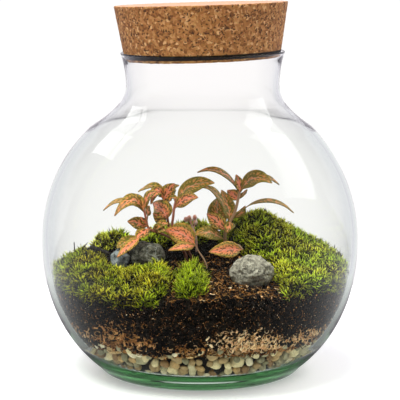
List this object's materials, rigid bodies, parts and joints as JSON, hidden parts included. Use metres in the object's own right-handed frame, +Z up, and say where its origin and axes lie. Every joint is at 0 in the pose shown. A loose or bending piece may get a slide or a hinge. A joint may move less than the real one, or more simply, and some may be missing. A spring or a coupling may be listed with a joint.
{
  "type": "glass plant terrarium",
  "caption": "Round clear glass jar with a thick green base and a tapered cork stopper, planted inside with moss and two pink-leaved nerve plants over soil and pebbles.",
  "frame": {"origin": "centre of the jar's flat base, on the surface it stands on", "axes": "+Z up along the jar's axis; the front of the planting faces -Y; +X to the right seen from the front"},
  "size_m": [0.2306, 0.2306, 0.27],
  "materials": {
    "glass_jar": "clear blown glass, green where it is thick",
    "cork_stopper": "pressed cork granules, unfinished",
    "gravel_layer": "rounded river pebbles, smooth",
    "coir_layer": "matted coir fibre",
    "soil": "loose dark potting soil",
    "stone_round": "pitted, dry",
    "stone_slate": "split, veined",
    "stone_slate_small": "split, pale",
    "twig": "dark bark",
    "moss_left": "matt living moss",
    "moss_bright": "long-leaved living moss",
    "moss_back_left": "matt living moss",
    "moss_back_centre": "matt living moss",
    "moss_right": "matt living moss",
    "plant_left_outer_stem": "satin leaves with a net of veins",
    "plant_left_middle_stem": "satin leaves with a net of veins",
    "plant_left_inner_stem": "satin leaves with a net of veins",
    "plant_front_sprig": "satin leaves with a net of veins",
    "plant_right": "satin leaves with a net of veins",
    "bud_sprig": "small dusky pink buds"
  },
  "bodies": {
    "root": {"glass_jar": "glass_jar", "cork_stopper": "cork_stopper", "gravel_layer": "gravel_layer", "coir_layer": "coir_layer", "soil": "soil", "stone_round": "stone_round", "stone_slate": "stone_slate", "stone_slate_small": "stone_slate_small", "twig": "twig", "moss_left": "moss_left", "moss_bright": "moss_bright", "moss_back_left": "moss_back_left", "moss_back_centre": "moss_back_centre", "moss_right": "moss_right", "plant_left_outer_stem": "plant_left_outer_stem", "plant_left_middle_stem": "plant_left_middle_stem", "plant_left_inner_stem": "plant_left_inner_stem", "plant_front_sprig": "plant_front_sprig", "plant_right": "plant_right", "bud_sprig": "bud_sprig"}
  },
  "joints": []
}
